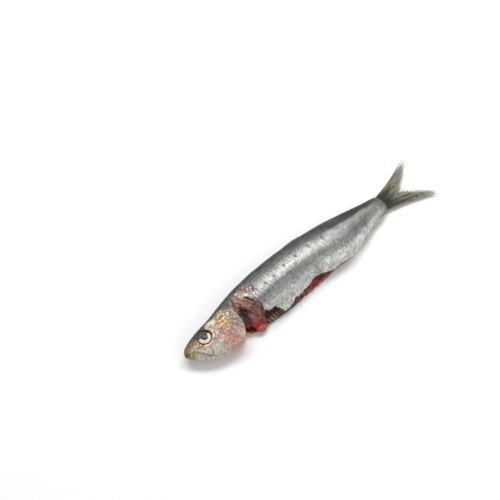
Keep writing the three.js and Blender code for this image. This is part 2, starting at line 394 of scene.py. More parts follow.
def neighbours_mean(vertices, quads):
    """The middle of each point's neighbours."""
    total, count = np.zeros_like(vertices), np.zeros(len(vertices))
    for k in range(4):
        a, b = quads[:, k], quads[:, (k + 1) % 4]
        for one, other in ((a, b), (b, a)):
            for axis in range(3):
                total[:, axis] += np.bincount(one, vertices[other, axis], len(vertices))
            count += np.bincount(one, minlength=len(vertices))
    return total / count[:, None]


def relaxed(vertices, quads, rounds):
    """The same surface with the steps of its samples smoothed away and its size kept."""
    for _ in range(rounds):
        for pull in (0.6, -0.56):
            vertices = vertices + pull * (neighbours_mean(vertices, quads) - vertices)
    return vertices


def normals_of(vertices, quads):
    """The direction out of the surface at each point."""
    one, other = (vertices[quads[:, k + 2]] - vertices[quads[:, k]] for k in (0, 1))
    face = np.cross(one, other)
    total = np.zeros_like(vertices)
    for k in range(4):
        for axis in range(3):
            total[:, axis] += np.bincount(quads[:, k], face[:, axis], len(vertices))
    return total / np.maximum(np.linalg.norm(total, axis=1), 1e-12)[:, None]


def meshed(field, solid, rounds):
    """The relaxed mesh of a solid given by its distances in a field."""
    vertices, quads = surface(solid, field.low, field.step)
    return relaxed(vertices, quads, rounds), quads


def moved(vertices, quads, move):
    """The points moved along their normals, with none left under the table."""
    vertices = vertices + normals_of(vertices, quads) * move[:, None]
    vertices[:, 2] = np.maximum(vertices[:, 2], 0)
    return vertices


def piece(name, vertices, faces, material, nodes, attributes=None):
    """A finished piece of the fish from points in its own millimetres, riding on the frame."""
    mesh = bpy.data.meshes.new(name)
    mesh.from_pydata(((vertices + ORIGIN) * MM).tolist(), [], [tuple(f) for f in faces])
    mesh.validate()
    for key, values in (attributes or {}).items():
        values = np.asarray(values, np.float32)
        if values.ndim == 1:
            mesh.attributes.new(key, "FLOAT", "POINT").data.foreach_set("value", values)
        else:
            colour = np.concatenate([values, np.ones((len(values), 1), np.float32)], 1)
            layer = mesh.attributes.new(key, "FLOAT_COLOR", "POINT")
            layer.data.foreach_set("color", colour.ravel())
    mesh.polygons.foreach_set("use_smooth", np.ones(len(mesh.polygons), bool))
    mesh.materials.append(material)
    mesh.update()
    made = bpy.data.objects.new(name, mesh)
    bpy.context.scene.collection.objects.link(made)
    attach(made, "root")
    if nodes:
        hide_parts(*nodes)
    return made


# ---- Materials ----

class Nodes:
    """A short way to write a material's node tree."""

    def __init__(self, name):
        self.material = bpy.data.materials.new(name)
        self.material.use_nodes = True
        self.tree = self.material.node_tree
        self.shader = self.tree.nodes["Principled BSDF"]

    def add(self, kind, inputs=None, **settings):
        node = self.tree.nodes.new(kind)
        for key, value in settings.items():
            setattr(node, key, value)
        for key, value in (inputs or {}).items():
            self.feed(node.inputs[key], value)
        return node

    def feed(self, socket, value):
        if isinstance(value, bpy.types.NodeSocket):
            self.tree.links.new(value, socket)
        else:
            socket.default_value = value

    def attribute(self, name, output="Fac"):
        return self.add("ShaderNodeAttribute", attribute_name=name).outputs[output]

    def math(self, operation, a, b=0.0):
        node = self.add("ShaderNodeMath", {0: a, 1: b}, operation=operation)
        return node.outputs[0]

    def scaled(self, value, low, high, to_low=0.0, to_high=1.0):
        inputs = {"Value": value, "From Min": low, "From Max": high, "To Min": to_low, "To Max": to_high}
        return self.add("ShaderNodeMapRange", inputs).outputs["Result"]

    def mix(self, share, a, b, blend="MIX"):
        node = self.add("ShaderNodeMix", data_type="RGBA", blend_type=blend, clamp_factor=True)
        by_name = {socket.identifier: socket for socket in (*node.inputs, *node.outputs)}
        self.feed(by_name["Factor_Float"], share)
        self.feed(by_name["A_Color"], colour4(a))
        self.feed(by_name["B_Color"], colour4(b))
        return by_name["Result_Color"]

    def times(self, colour, by, share=1.0):
        """The colour multiplied by another, or by a grey."""
        return self.mix(share, colour, by, "MULTIPLY")

    def position(self):
        return self.add("ShaderNodeTexCoord").outputs["Object"]

    def noise(self, size_mm, detail=4.0, stretch=(1, 1, 1), distortion=0.0):
        """Noise over the object's own coordinates, with lumps about size_mm long."""
        mapping = self.add("ShaderNodeMapping", {"Vector": self.position(), "Scale": stretch})
        inputs = {"Vector": mapping.outputs[0], "Scale": 1 / (size_mm * MM), "Detail": detail}
        inputs["Distortion"] = distortion
        return self.add("ShaderNodeTexNoise", inputs).outputs["Fac"]

    def cells(self, size_mm):
        """Distance to the nearest of many scattered points, about size_mm apart."""
        inputs = {"Vector": self.position(), "Scale": 1 / (size_mm * MM)}
        return self.add("ShaderNodeTexVoronoi", inputs).outputs["Distance"]

    def waves(self, pitch_mm, distortion):
        """Lines across the fish, pitch_mm from one to the next along it."""
        inputs = {"Vector": self.position(), "Scale": math.pi / (10 * pitch_mm * MM)}
        inputs.update({"Distortion": distortion, "Detail": 2.0, "Detail Scale": 0.8})
        return self.add("ShaderNodeTexWave", inputs, bands_direction="X").outputs["Fac"]

    def bump(self, height, distance_mm, strength=1.0, under=None):
        inputs = {"Height": height, "Distance": distance_mm * MM, "Strength": strength}
        if under is not None:
            inputs["Normal"] = under
        return self.add("ShaderNodeBump", inputs).outputs["Normal"]

    def finish(self, colour, roughness, normal=None, **fixed):
        self.feed(self.shader.inputs["Base Color"], colour4(colour))
        self.feed(self.shader.inputs["Roughness"], roughness)
        if normal is not None:
            self.feed(self.shader.inputs["Normal"], normal)
        for key, value in fixed.items():
            self.feed(self.shader.inputs[key.replace("_", " ")], value)
        return self.material


def colour4(value):
    return value if isinstance(value, bpy.types.NodeSocket) else (*value, 1.0)


def skin_material():
    """Wet silver skin: the mesh gives the broad colours, nodes the scales, lines and flecks."""
    n = Nodes("sardine_skin")
    tint, flesh = n.attribute("tint", "Color"), n.attribute("flesh")
    silver, scales = n.attribute("silver"), n.attribute("scales")
    grain = n.noise(0.75, 5.0, stretch=(1.0, 0.45, 0.45))
    blotches = n.noise(4.0, 4.0, distortion=0.6)
    specks = n.noise(0.4, 2.0)
    lines = n.waves(LINE_PITCH, 1.6)
    colour = n.times(tint, n.scaled(grain, 0.30, 0.70, 0.58, 1.36))
    colour = n.times(colour, n.scaled(blotches, 0.35, 0.65, 0.85, 1.13))
    drift = n.scaled(n.noise(2.2, 4.0, distortion=0.8), 0.36, 0.64)
    hue = n.mix(drift, (0.93, 0.98, 1.06), (1.07, 1.03, 0.93))
    colour = n.times(colour, hue)
    colour = n.times(colour, n.scaled(lines, 0.1, 0.9, 0.54, 1.34), n.attribute("lines"))
    colour = n.times(colour, n.scaled(scales, 0.0, 1.0, 0.84, 1.07))
    fleck = n.attribute("fleck")
    brown = n.math("MULTIPLY", fleck, n.scaled(n.noise(1.9, 6.0, distortion=1.2), 0.49, 0.57))
    colour = n.mix(brown, colour, paint(138, 100, 58))
    dark = n.math("MULTIPLY", fleck, n.scaled(n.cells(1.1), 0.34, 0.12))
    dark = n.math("MULTIPLY", dark, n.scaled(n.noise(3.1, 3.0), 0.46, 0.58))
    colour = n.mix(dark, colour, paint(58, 50, 34))
    # The pale flecks are partly the head's white marks and partly painted wet highlights.
    pale = n.math("MULTIPLY", fleck, n.scaled(n.noise(1.2, 6.0, distortion=0.9), 0.55, 0.61))
    colour = n.mix(n.math("MULTIPLY", pale, 0.8), colour, paint(246, 238, 218))
    streaks = n.noise(0.9, 5.0, stretch=(0.5, 0.9, 1.0), distortion=1.2)
    meat = n.times(tint, n.scaled(streaks, 0.32, 0.68, 0.42, 1.75))
    colour = n.mix(flesh, colour, meat)
    metal = n.math("MULTIPLY", silver, n.scaled(flesh, 0.0, 1.0, 0.40, 0.0))
    dull = n.scaled(silver, 0.2, 1.0, 0.24, 0.0)
    roughness = n.math("ADD", n.scaled(specks, 0.3, 0.7, 0.30, 0.46), dull)
    normal = n.bump(scales, 0.05, 0.8)
    normal = n.bump(n.math("MULTIPLY", lines, n.attribute("lines")), 0.05, 0.7, normal)
    normal = n.bump(grain, 0.12, 0.6, normal)
    normal = n.bump(specks, 0.05, 0.4, normal)
    return n.finish(
        colour, roughness, normal, Metallic=metal, Coat_Weight=0.16, Coat_Roughness=0.2,
        Specular_IOR_Level=0.35,
    )


# ---- Colour by place ----

def paint(red, green, blue):
    """A screen colour, 0 to 255, as the linear colour that shaders use."""
    c = np.array([red, green, blue], float) / 255
    return np.where(c <= 0.04045, c / 12.92, ((c + 0.055) / 1.055) ** 2.4)


# The stripes of the flank from belly to ridge, in round values. Their lightness is partly the
# skin's own and partly painted light: the bright band just above the middle is a painted
# highlight, the grey band below it a painted dark reflection, and the lower flank is painted
# lighter for the bright table that it reflects. Each has its height (-1 at the belly line, 1 at
# the back) and its lightness at four places along the fish, and its own hue.
SHOULDER, BEHIND_BELLY, TAIL_STALK, TAIL_ROOT = 50, 84, 118, 134
NEUTRAL, CREAM = (1, 1.005, 0.985), (1, 1, 0.955)
COOL, GREENISH = (0.985, 1, 1.005), (1, 1.035, 0.995)
STRIPES_AND_REFLECTIONS = [
    ((-0.98, -0.98, -0.98, -0.98), (200, 200, 200, 170), CREAM),
    ((-0.60, -0.64, -0.80, -0.60), (190, 200, 210, 160), NEUTRAL),
    ((-0.40, -0.44, -0.50, -0.40), (150, 160, 110, 150), NEUTRAL),
    ((-0.20, -0.30, -0.26, -0.10), (125, 140, 90, 120), COOL),
    ((-0.07, -0.08, -0.07, 0.05), (150, 150, 110, 110), NEUTRAL),
    ((0.08, 0.09, 0.15, 0.18), (165, 165, 150, 110), NEUTRAL),
    ((0.26, 0.28, 0.30, 0.32), (130, 150, 150, 100), CREAM),
    ((0.50, 0.50, 0.46, 0.50), (110, 100, 60, 75), GREENISH),
    ((0.74, 0.73, 0.67, 0.70), (85, 65, 40, 60), GREENISH),
    ((0.97, 0.97, 0.97, 0.97), (80, 85, 80, 85), GREENISH),
]
SPOTS = [
    (39, 8.1), (47.2, 1.6), (52.9, 1.4), (58.8, 1.8), (66.4, 3.1), (74.4, 3.4), (83.5, 4.0),
    (92.6, 3.9),
]


def spot(x, y, at, radii, turn=0.0):
    """1 at a place on the flank, fading out over the radii along and across it."""
    c, s = math.cos(turn), math.sin(turn)
    dx, dy = x - at[0], y - at[1]
    a, b = (dx * c + dy * s) / radii[0], (-dx * s + dy * c) / radii[1]
    return np.exp(-(a * a + b * b))


def lay(base, colour, share):
    """A screen colour, or one colour for each point, laid over base by a share at each point."""
    if isinstance(colour, tuple):
        colour = paint(*colour)
    share = np.clip(share, 0, 1)[:, None]
    return base * (1 - share) + colour * share


def mixed(one, other, share):
    """Two screen colours mixed by a share at each point."""
    return lay(np.tile(paint(*one), (len(share), 1)), other, share)


def patched(tint, x, y, patches, mottle):
    """Soft patches laid over a colour, some of them broken up by the mottle."""
    for colour, share, at, radii, turn, even in patches:
        share = share * spot(x, y, at, radii, turn)
        if even is not None:
            share = share * (even + mottle)
        tint = lay(tint, colour, share)
    return tint


def flank_tint(points):
    """The stripes with their painted highlight and reflections, the dark ridge, a grey painted shadow of a
    neighbouring fish, the root of the tail stalk, and the spots.
    """
    x, y = points[:, 0], points[:, 1]
    drift = 0.04 * noise(points, 6.0, 11) + 0.045 * noise(points, 1.2, 12)
    rise = section(x, y) + drift
    places = (SHOULDER, BEHIND_BELLY, TAIL_STALK, TAIL_ROOT)
    tint, below = None, None
    # Each stripe's lightness carries its painted highlight and painted reflections.
    for heights, lightness, hue in STRIPES_AND_REFLECTIONS:
        height = np.interp(x, places, heights)
        colour = paint(*[np.interp(x, places, lightness) * part for part in hue]).T
        tint = colour if tint is None else lay(tint, colour, smoothstep(rise, below, height))
        below = height
    ridge = smoothstep(rise, 0.73, 0.82)
    tint = lay(tint, (24, 30, 28), 0.8 * ridge)
    # Painted shadow of a neighbouring fish, not built here, lying grey on the upper flank before the tail
    # stalk.
    neighbour_shadow = smoothstep(x, 98, 102) * before(x, 106, 111) * smoothstep(rise, 0.34, 0.46)
    tint = lay(tint, (70, 76, 74), 0.6 * neighbour_shadow)
    root = smoothstep(x + 0.12 * (y - 2.6) ** 2 + 2.2 * noise(points, 1.4, 13), 130.5, 136.5)
    tint = lay(tint, (100, 100, 82), 0.75 * root)
    for at in SPOTS:
        tint = lay(tint, (48, 52, 58), 0.95 * spot(x, y, at, (0.8, 1.05)))
    return tint


# Patches of the head: colour, strength, place, radii, turn, and how much of it the mottle leaves
# even (None where it is left out).
CHEEK_PATCHES = [
    ((206, 138, 126), 0.7, (22.6, -8.0), (2.4, 4.6), 0.5, 0.4),  # rosy cheek
    ((206, 150, 136), 0.7, (24.0, -12.4), (3.2, 1.6), 0, None),
    ((220, 198, 188), 0.7, (27.4, -11.0), (1.6, 2.4), 0, None),
    ((134, 132, 126), 0.95, (27.4, -4.6), (3.0, 4.2), -0.2, None),  # grey of the gill cover
    ((140, 126, 112), 0.7, (30.6, -4.2), (1.2, 5.4), 0, None),
    ((170, 150, 118), 0.7, (30.0, 1.8), (2.2, 2.2), 0, 0.4),
    ((188, 132, 44), 1.3, (23.8, -0.2), (3.1, 3.4), 0.4, 0.45),  # gold behind the eye
    ((104, 96, 40), 1, (22.0, 4.6), (4.2, 1.7), 0, 0.35),  # olive above it
    ((196, 188, 160), 1, (26.6, 4.4), (2.0, 1.2), 0, 0.5),  # pale nape
]
SNOUT_PATCHES = [
    ((246, 244, 232), 1.1, (18.4, 3.2), (2.7, 1.6), -0.4, None),  # white behind the eye
    ((70, 78, 44), 0.8, (14.6, 3.4), (1.3, 0.7), 0.2, None),
    ((84, 78, 68), 0.8, (6.4, 1.0), (4.2, 1.3), 0.25, None),
    ((40, 40, 40), 0.95, (12.4, 3.5), (3.6, 1.5), 0.3, None),  # dark brow
    ((144, 122, 96), 0.8, (6.6, 0.2), (3.6, 1.2), 0.1, None),
    ((232, 206, 170), 0.9, (5.6, -2.2), (3.8, 0.9), -0.25, 0.3),  # pale band to the eye
    ((148, 92, 50), 0.95, (6.9, -3.2), (2.9, 0.6), -0.35, None),  # orange streak under it
    ((238, 216, 192), 0.8, (4.2, -4.0), (2.6, 0.6), -0.35, None),  # pale lip
]


def head_tint(points):
    """A mottled pinkish head with a slate top, patches, painted shade in the maxilla's groove, and the
    eyelid, dark above and in front of the eye partly by painted shade.
    """
    x, y = points[:, 0], points[:, 1]
    rise = section(x, y)
    mottle = 0.5 + 0.5 * layered_noise(points, 1.6, 21)
    tint = mixed((188, 170, 150), (196, 184, 168), mottle)
    # Pale jaw and throat, then a rosy cheek that is greyer above.
    tint = lay(tint, (202, 196, 184), before(rise, -0.6, -0.2) * before(x, 15, 20))
    tint = lay(tint, (204, 160, 148), smoothstep(x, 16, 20) * before(rise, -0.4, 0.2))
    tint = patched(tint, x, y, CHEEK_PATCHES, mottle)
    # Slate top of the snout, darkest above the eye, with a brown band from lip to eye.
    top = smoothstep(rise, 0.2 + 0.45 * smoothstep(x, 12, 19), 0.5 + 0.35 * smoothstep(x, 12, 19))
    tint = lay(tint, (88, 84, 76), top * (0.8 + 0.2 * mottle))
    tint = patched(tint, x, y, SNOUT_PATCHES, mottle)
    # Painted shade in the groove along the maxilla's lower edge.
    groove = outline_distance(MAXILLA, x, y) - 0.2
    tint = lay(tint, (132, 126, 114), 0.6 * np.exp(-((groove / 0.45) ** 2)) * before(y, -7, -4.5))
    tint = lay(tint, (116, 106, 68), before(x, 1.2, 3.6))
    tint = lay(tint, (166, 146, 78), 0.9 * spot(x, y, (2.6, -3.8), (2.2, 1.5)))
    from_eye = np.hypot(x - EYE_X, y - EYE_Y) - EYE_RADIUS
    lid = np.exp(-(((from_eye - 0.7) / 0.6) ** 2))
    behind = smoothstep(x - y, EYE_X - 1.5, EYE_X + 2.5)
    tint = lay(tint, (238, 216, 192), 0.9 * lid * behind)
    # The lid is pale behind the eye; above and in front of it the dark is partly the lid's own colour and
    # partly painted shade.
    tint = lay(tint, (62, 64, 58), 0.9 * lid * (1 - behind) * smoothstep(y, -0.5, 1.5))
    edge = smoothstep(rise, 0.70, 0.81) * smoothstep(x, 2, 6)
    return lay(tint, (34, 36, 32), 0.8 * edge)


def head_share(x, y):
    """1 on the bare skin of the head and 0 on the scales, which reach further forward on the nape."""
    return smoothstep(-x - 0.59 * y, -31.2, -28.4)


def skin_tint(points):
    """The colour of the skin, the same on both sides of the fish."""
    x, y = points[:, 0], points[:, 1]
    head = head_share(x + 1.6 * noise(points, 1.6, 31), y)
    tint = lay(flank_tint(points), head_tint(points), head)
    # Brown skin between the gill cover and the cut.
    tint = lay(tint, (104, 86, 76), spot(x, y, (31.4, 2.4), (2.0, 3.4), 0.35) * (x > 28))
    tint = lay(tint, (110, 82, 72), spot(x, y, (32.4, -1.4), (2.0, 3.4), 0.15) * (x > 31))
    return lay(tint, (96, 88, 78), 0.65 * smoothstep(pucker(points), 0.15, 0.7))


def fibres(points):
    """Strands of the cut shoulder muscle, which run down and back towards the belly."""
    x, y, z = points.T
    run, across = 0.5 * x - 0.87 * y, 0.87 * x + 0.5 * y
    return noise(np.stack([run / 5, across, z / 2], 1), 0.8, 42)


def head_flecks(x, y):
    """How freckled the head is: most behind and under the eye, least on the jaw."""
    rise = section(x, y)
    strong = spot(x, y, (22, 1.5), (8, 5)) + 0.8 * spot(x, y, (9, -2.5), (6, 2))
    strong = strong + 0.6 * spot(x, y, (18, -4.5), (4, 3)) + 0.3 * spot(x, y, (28, -4), (4, 7))
    return np.clip(0.22 + 0.95 * strong, 0, 1) * head_share(x, y) * before(rise, 0.55, 0.85)


def flesh_tint(points):
    """The colour of whatever lies under the skin, with painted shade in the deep gap behind the gill cover
    and under the upper wall of the emptied belly.
    """
    x, y, z = points.T
    lumps = 0.5 + 0.5 * layered_noise(points, 2.4, 41)
    tint = mixed((106, 66, 58), (134, 92, 80), lumps)
    tint = lay(tint, (150, 116, 100), 0.9 * smoothstep(y, -0.5, 2.5) * before(x, 42, 44))
    strand = fibres(points) * before(x, 43, 47)
    tint = lay(tint, (70, 34, 32), 1.3 * before(strand, -0.6, -0.1))
    tint = lay(tint, (176, 134, 118), 0.8 * smoothstep(strand, 0.25, 0.7))
    tint = lay(tint, (190, 160, 140), 0.9 * spot(x, y, (36.6, 4.6), (2.6, 2.0)) * (0.4 + 0.7 * lumps))
    tint = lay(tint, (196, 128, 60), 0.9 * spot(x, y, (37.6, 2.6), (0.8, 0.9)))
    # Dark red in the deep gap behind the gill cover: partly the tissue's own colour and partly painted shade.
    tint = lay(tint, (58, 32, 32), before(x, 34.2, 37.2) * before(y, -2.2, 0.6))
    tint = lay(tint, (62, 26, 26), before(x, 35.4, 38.0) * before(y, -5.5, -2.5))
    tint = lay(tint, (110, 56, 50), 0.8 * spot(x, y, (40.5, -4.2), (2.2, 2.6)))
    tint = lay(tint, (138, 36, 32), before(y, -9.8, -7.6) * before(x, 40, 43))
    brown = smoothstep(x, 41.6, 43.6) * before(x, 52, 56) * before(y, -6, -4.6)
    tint = lay(tint, (110, 80, 62), brown * (0.7 + 0.3 * lumps))
    tint = lay(tint, (58, 46, 42), smoothstep(x, 53, 55) * before(x, 60, 64))
    tint = lay(tint, (128, 92, 72), smoothstep(x, 60, 63) * before(x, 69, 73) * lumps)
    red = smoothstep(x, 69, 73) * before(x, 80, 84)
    tint = lay(tint, (170, 74, 70), red * (0.6 + 0.4 * lumps))
    tint = lay(tint, (150, 112, 90), smoothstep(x, 80, 84))
    # Painted shade on the flesh higher up inside the emptied belly, under its upper wall.
    inside = smoothstep(-section(x, y), -0.5, 0.1) * smoothstep(x, 44, 48)
    return lay(tint, (76, 30, 26), 0.4 * inside * smoothstep(z, 2, 5))


# ---- The body ----

def scale_relief(points):
    """Overlapping round scales, from 0 at a scale's root to 1 at its free edge."""
    length, width = 2.1, 2.3
    x, y = points[:, 0], points[:, 1]
    back, belly = along(BACK_LINE, x), along(BELLY_LINE, x)
    across = np.arcsin(np.clip(section(x, y), -1, 1)) * (back - belly) / 2 / width
    top = np.zeros(len(x))
    for k in (0, 1):
        row = np.floor(across) + k
        off = across - row
        phase = x / length + 0.5 * np.mod(row, 2) + 0.5 * off**2
        height = np.mod(phase, 1.0)
        top = np.maximum(top, height * smoothstep(1 - np.abs(off), 0.0, 0.35))
    return top


def body_solid():
    """The body with the seats of the head's plates and eyes, the slit and the torn belly cut out."""
    f = Field((-2.6, -17.5, -1.2), (138.5, 16.5, 16.5), BODY_STEP)
    depth = -f.skin
    plan = np.stack([f.flat_x, f.flat_y, 0 * f.flat_x], -1)
    jag = (0.35 * noise(plan, 1.6, 51) + 0.25 * noise(plan, 0.7, 52))[:, :, None]
    places = f.points()
    ragged = 0.40 * noise(places, 1.7, 54) + 0.30 * noise(places, 0.8, 55)
    left = f.z - along(MIDDLE_HEIGHT, f.x)
    solid = both(f.skin, -f.z, 0.7)
    for side in (1, -1):
        this_side = 0.15 - side * left
        cover = np.maximum(f.plan(GILL_COVER) + LAP, depth - COVER_THICKNESS - SEAM)
        solid = without(solid, np.maximum(cover, this_side), 0.08)
        eye = np.hypot(f.x - EYE_X, f.y - EYE_Y) - EYE_RADIUS - 0.1
        solid = without(solid, np.maximum(np.maximum(eye, depth - 2.4), this_side), 0.2)
        maxilla = np.maximum(f.plan(MAXILLA) + LAP, depth - MAXILLA_THICKNESS - 2 * SEAM)
        solid = without(solid, np.maximum(maxilla, this_side), 0.08)
    solid = without(solid, f.plan(JAW) - 0.05, 0.06)
    slit_depth = 3.4 - 2.2 * smoothstep(f.x, 33.8, 37.5) + 1.5 * jag
    slit_depth = slit_depth + 1.6 * smoothstep(-f.y, 5.0, 8.0) - 1.2 * smoothstep(f.y, 1.0, 6.0)
    slit = np.maximum(f.plan(SLIT) + ragged, depth - slit_depth - ragged)
    solid = without(solid, np.maximum(slit, BELLY_WALL + 1.0 + 2.0 * ragged - f.z), 0.6)
    solid = without(solid, f.plan(THROAT_NOTCH) + 0.4 * ragged, 0.5)
    peeled = np.maximum(f.plan(PEELED) + 2.2 * jag, depth - 0.5)
    solid = without(solid, np.maximum(peeled, -left), 0.3)
    wall = BELLY_WALL + 0.8 * ragged
    hollow = np.maximum(f.plan(BELLY_HOLLOW), 1.25 - depth)
    solid = without(solid, np.maximum(hollow, wall - f.z), 0.4)
    edge_x, edge_y = np.array(TORN_EDGE, float).T
    torn = f.y - np.interp(f.x, edge_x, edge_y) + 0.8 * ragged + 0.8 * jag
    torn = np.maximum(torn, np.maximum(edge_x[0] - f.x, f.x - edge_x[-1]))
    solid = without(solid, np.maximum(torn, wall - f.z), 0.3)
    # The upper wall hangs clear of the lower one.
    gap = np.abs(f.z - BELLY_WALL - 0.7 - 0.6 * ragged) - BELLY_GAP / 2
    gap = np.maximum(gap, f.y - along(BELLY_LINE, f.x) - 4.5)
    solid = without(solid, np.maximum(gap, np.maximum(45 - f.x, f.x - 96)), 0.3)
    fringe = f.y - along(BELLY_LINE, f.x) - 0.5 + 1.3 * ragged
    fringe = np.maximum(fringe, np.maximum(38 - f.x, f.x - 88))
    solid = without(solid, fringe, 0.3)
    return f, solid


def line_strength(x, rise):
    """How strongly the fine lines across the flank show."""
    low = before(rise, -0.05, 0.15) * smoothstep(rise, -0.62, -0.42) * before(x, 76, 92)
    band = np.exp(-(((rise - 0.2) / 0.22) ** 2)) * smoothstep(x, 64, 90)
    fade = smoothstep(x, 40, 48) * before(x, 122, 133)
    broken = 0.75 + 0.35 * np.sin(0.9 * x + 4 * rise) * np.sin(0.37 * x - 7 * rise)
    return np.clip(0.62 * low + 0.7 * band + 0.18, 0, 1) * fade * broken


def pucker(points):
    """Creases that fan out of the place where the flap's edge is drawn up."""
    x, y = points[:, 0], points[:, 1]
    around = np.arctan2(y + 9, x - 80)
    return np.sin(17 * around + 1.5 * noise(points, 4.0, 63)) * spot(x, y, (80, -7.8), (5.0, 2.8))


def body_relief(points, flesh):
    """How far each point moves along its normal, in millimetres."""
    x, y = points[:, 0], points[:, 1]
    skin = 1 - flesh
    trunk = smoothstep(x, 32, 38) * before(x, 128, 134)
    move = 0.14 * noise(points, 9.0, 61) + 0.05 * noise(points, 3.0, 62)
    move = move + 0.06 * (scale_relief(points) - 0.5) * skin * trunk
    lines = np.sin(2 * math.pi * x / LINE_PITCH + 2.5 * noise(points, 3.5, 66))
    move = move + 0.03 * lines * skin * line_strength(x, section(x, y))
    move = move + 0.16 * pucker(points) * skin
    move = move + 0.30 * layered_noise(points, 1.5, 64) * flesh
    move = move + 0.3 * fibres(points) * flesh * before(x, 43, 47)
    head = before(x, 24, 29)
    striae = np.sin(2.6 * x + 1.1 * y) * smoothstep(section(x, y), 0.55, 0.8)
    move = move + 0.05 * striae * head
    move = move - 0.35 * spot(x, y, (5.4, 0.6), (0.45, 0.3)) * head
    rim = np.hypot(x - EYE_X, y - EYE_Y) - EYE_RADIUS
    return move + 0.16 * np.exp(-(((rim - 0.7) / 0.5) ** 2)) * head


def make_body(material):
    f, solid = body_solid()
    vertices, quads = meshed(f, solid, 3)
    depth = -f.sample(f.skin, vertices)
    above_table = smoothstep(vertices[:, 2], 0.1, 0.5)
    flesh = smoothstep(depth, 0.22, 0.5) * above_table
    vertices = moved(vertices, quads, body_relief(vertices, flesh) * above_table)
    x, y = vertices[:, 0], vertices[:, 1]
    tint = lay(skin_tint(vertices), flesh_tint(vertices), flesh)
    plan = np.stack([x, y, 0 * x], 1)
    peeled = smoothstep(-outline_distance(PEELED, x, y), -0.3, 0.5) * (vertices[:, 2] > 6)
    peeled = peeled * before(depth, 0.7, 1.0)
    bare = mixed((158, 152, 144), (112, 100, 92), 0.5 + noise(plan, 1.1, 71))
    bare = lay(bare, (230, 232, 232), 0.9 * smoothstep(noise(plan, 0.9, 72), 0.3, 0.6))
    bare = lay(bare, (140, 96, 76), 1.1 * spot(x, y, (44.0, 6.2), (2.2, 1.4)))
    tint = lay(tint, bare, peeled)
    flesh = flesh * (1 - 0.3 * peeled)
    rise = section(x, y)
    head = head_share(x, y)
    silver = (1 - 0.6 * head) * (1 - 0.75 * smoothstep(rise, 0.42, 0.75))
    silver = silver * (1 - 0.8 * smoothstep(x, 130, 135.5))
    scales = scale_relief(vertices) * smoothstep(x, 32, 38) + 0.5 * before(x, 32, 38)
    lines = line_strength(x, rise) * (1 - flesh) * (1 - peeled)
    extra = {"tint": tint, "flesh": flesh, "silver": silver, "scales": scales, "lines": lines}
    extra["fleck"] = head_flecks(x, y) * (1 - flesh)
    return piece("body_skin", vertices, quads, material, ["body"], extra)


# ---- Plates of the head ----

def head_looks(vertices, tint, flesh, silver):
    """What the skin material asks of a piece of the head, which has no scales or lines."""
    even = np.ones(len(vertices))
    looks = {"tint": tint, "flesh": flesh, "silver": silver * even, "scales": 0.5 * even}
    looks["lines"] = 0 * even
    looks["fleck"] = head_flecks(vertices[:, 0], vertices[:, 1])
    return looks


def head_plate(name, node, material, outline, side, thickness, proud, shape):
    """A bony plate that follows the side of the head, with shape giving its own relief."""
    xs, ys = np.array(outline, float).T
    low, high = (4.5, 14) if side > 0 else (-0.8, 7)
    f = Field((xs.min() - 1, ys.min() - 1, low), (xs.max() + 1, ys.max() + 1, high), HEAD_STEP)
    depth = -f.skin
    left = f.z - along(MIDDLE_HEIGHT, f.x)
    slab = np.maximum(-proud - depth, depth - thickness)
    solid = both(f.plan(outline), slab, 0.35)
    solid = both(solid, 0.3 - side * left, 0.2)
    solid = both(solid, -f.z, 0.2)
    vertices, quads = meshed(f, solid, 2)
    inner = smoothstep(-f.sample(f.skin, vertices), thickness * 0.45, thickness * 0.75)
    above_table = smoothstep(vertices[:, 2], 0.05, 0.3)
    vertices = moved(vertices, quads, shape(vertices) * (1 - inner) * above_table)
    tint = lay(skin_tint(vertices), (120, 40, 36), inner)
    extra = head_looks(vertices, tint, inner, 0.4)
    extra["fleck"] *= 1 - inner
    return piece(name, vertices, quads, material, [node], extra)


def cover_relief(points):
    """Bony ribs that fan out from the cover's upper front corner, with fine and broad lumps over it."""
    x, y = points[:, 0], points[:, 1]
    dx, dy = x - 19.5, y - 4.5
    angle = np.arctan2(dy, dx)
    reach = np.hypot(dx, dy)
    ribs = np.sin(34 * angle + 1.6 * noise(points, 3.0, 81)) * smoothstep(reach, 5, 11)
    return 0.035 * ribs + 0.06 * noise(points, 1.2, 82) + 0.12 * noise(points, 4.0, 83)


def maxilla_relief(points):
    return 0.05 * noise(points, 1.0, 84) + 0.05 * np.sin(3.5 * points[:, 1] + 1.5 * points[:, 0])


def make_jaw(material):
    f = Field((-2.4, -14, 0.5), (13, 0, 11), HEAD_STEP)
    solid = both(f.skin + 0.05, f.plan(JAW), 0.25)
    vertices, quads = meshed(f, solid, 2)
    vertices = moved(vertices, quads, 0.06 * noise(vertices, 1.2, 85) + 0.1 * noise(vertices, 3.0, 86))
    flesh = smoothstep(-f.sample(f.skin, vertices), 0.4, 0.8)
    tint = lay(skin_tint(vertices), (150, 96, 84), flesh)
    extra = head_looks(vertices, tint, flesh, 0.3)
    return piece("jaw", vertices, quads, material, ["lower_jaw"], extra)


# ---- Eyes ----

EYE_RINGS = 44
EYE_SPOKES = 96


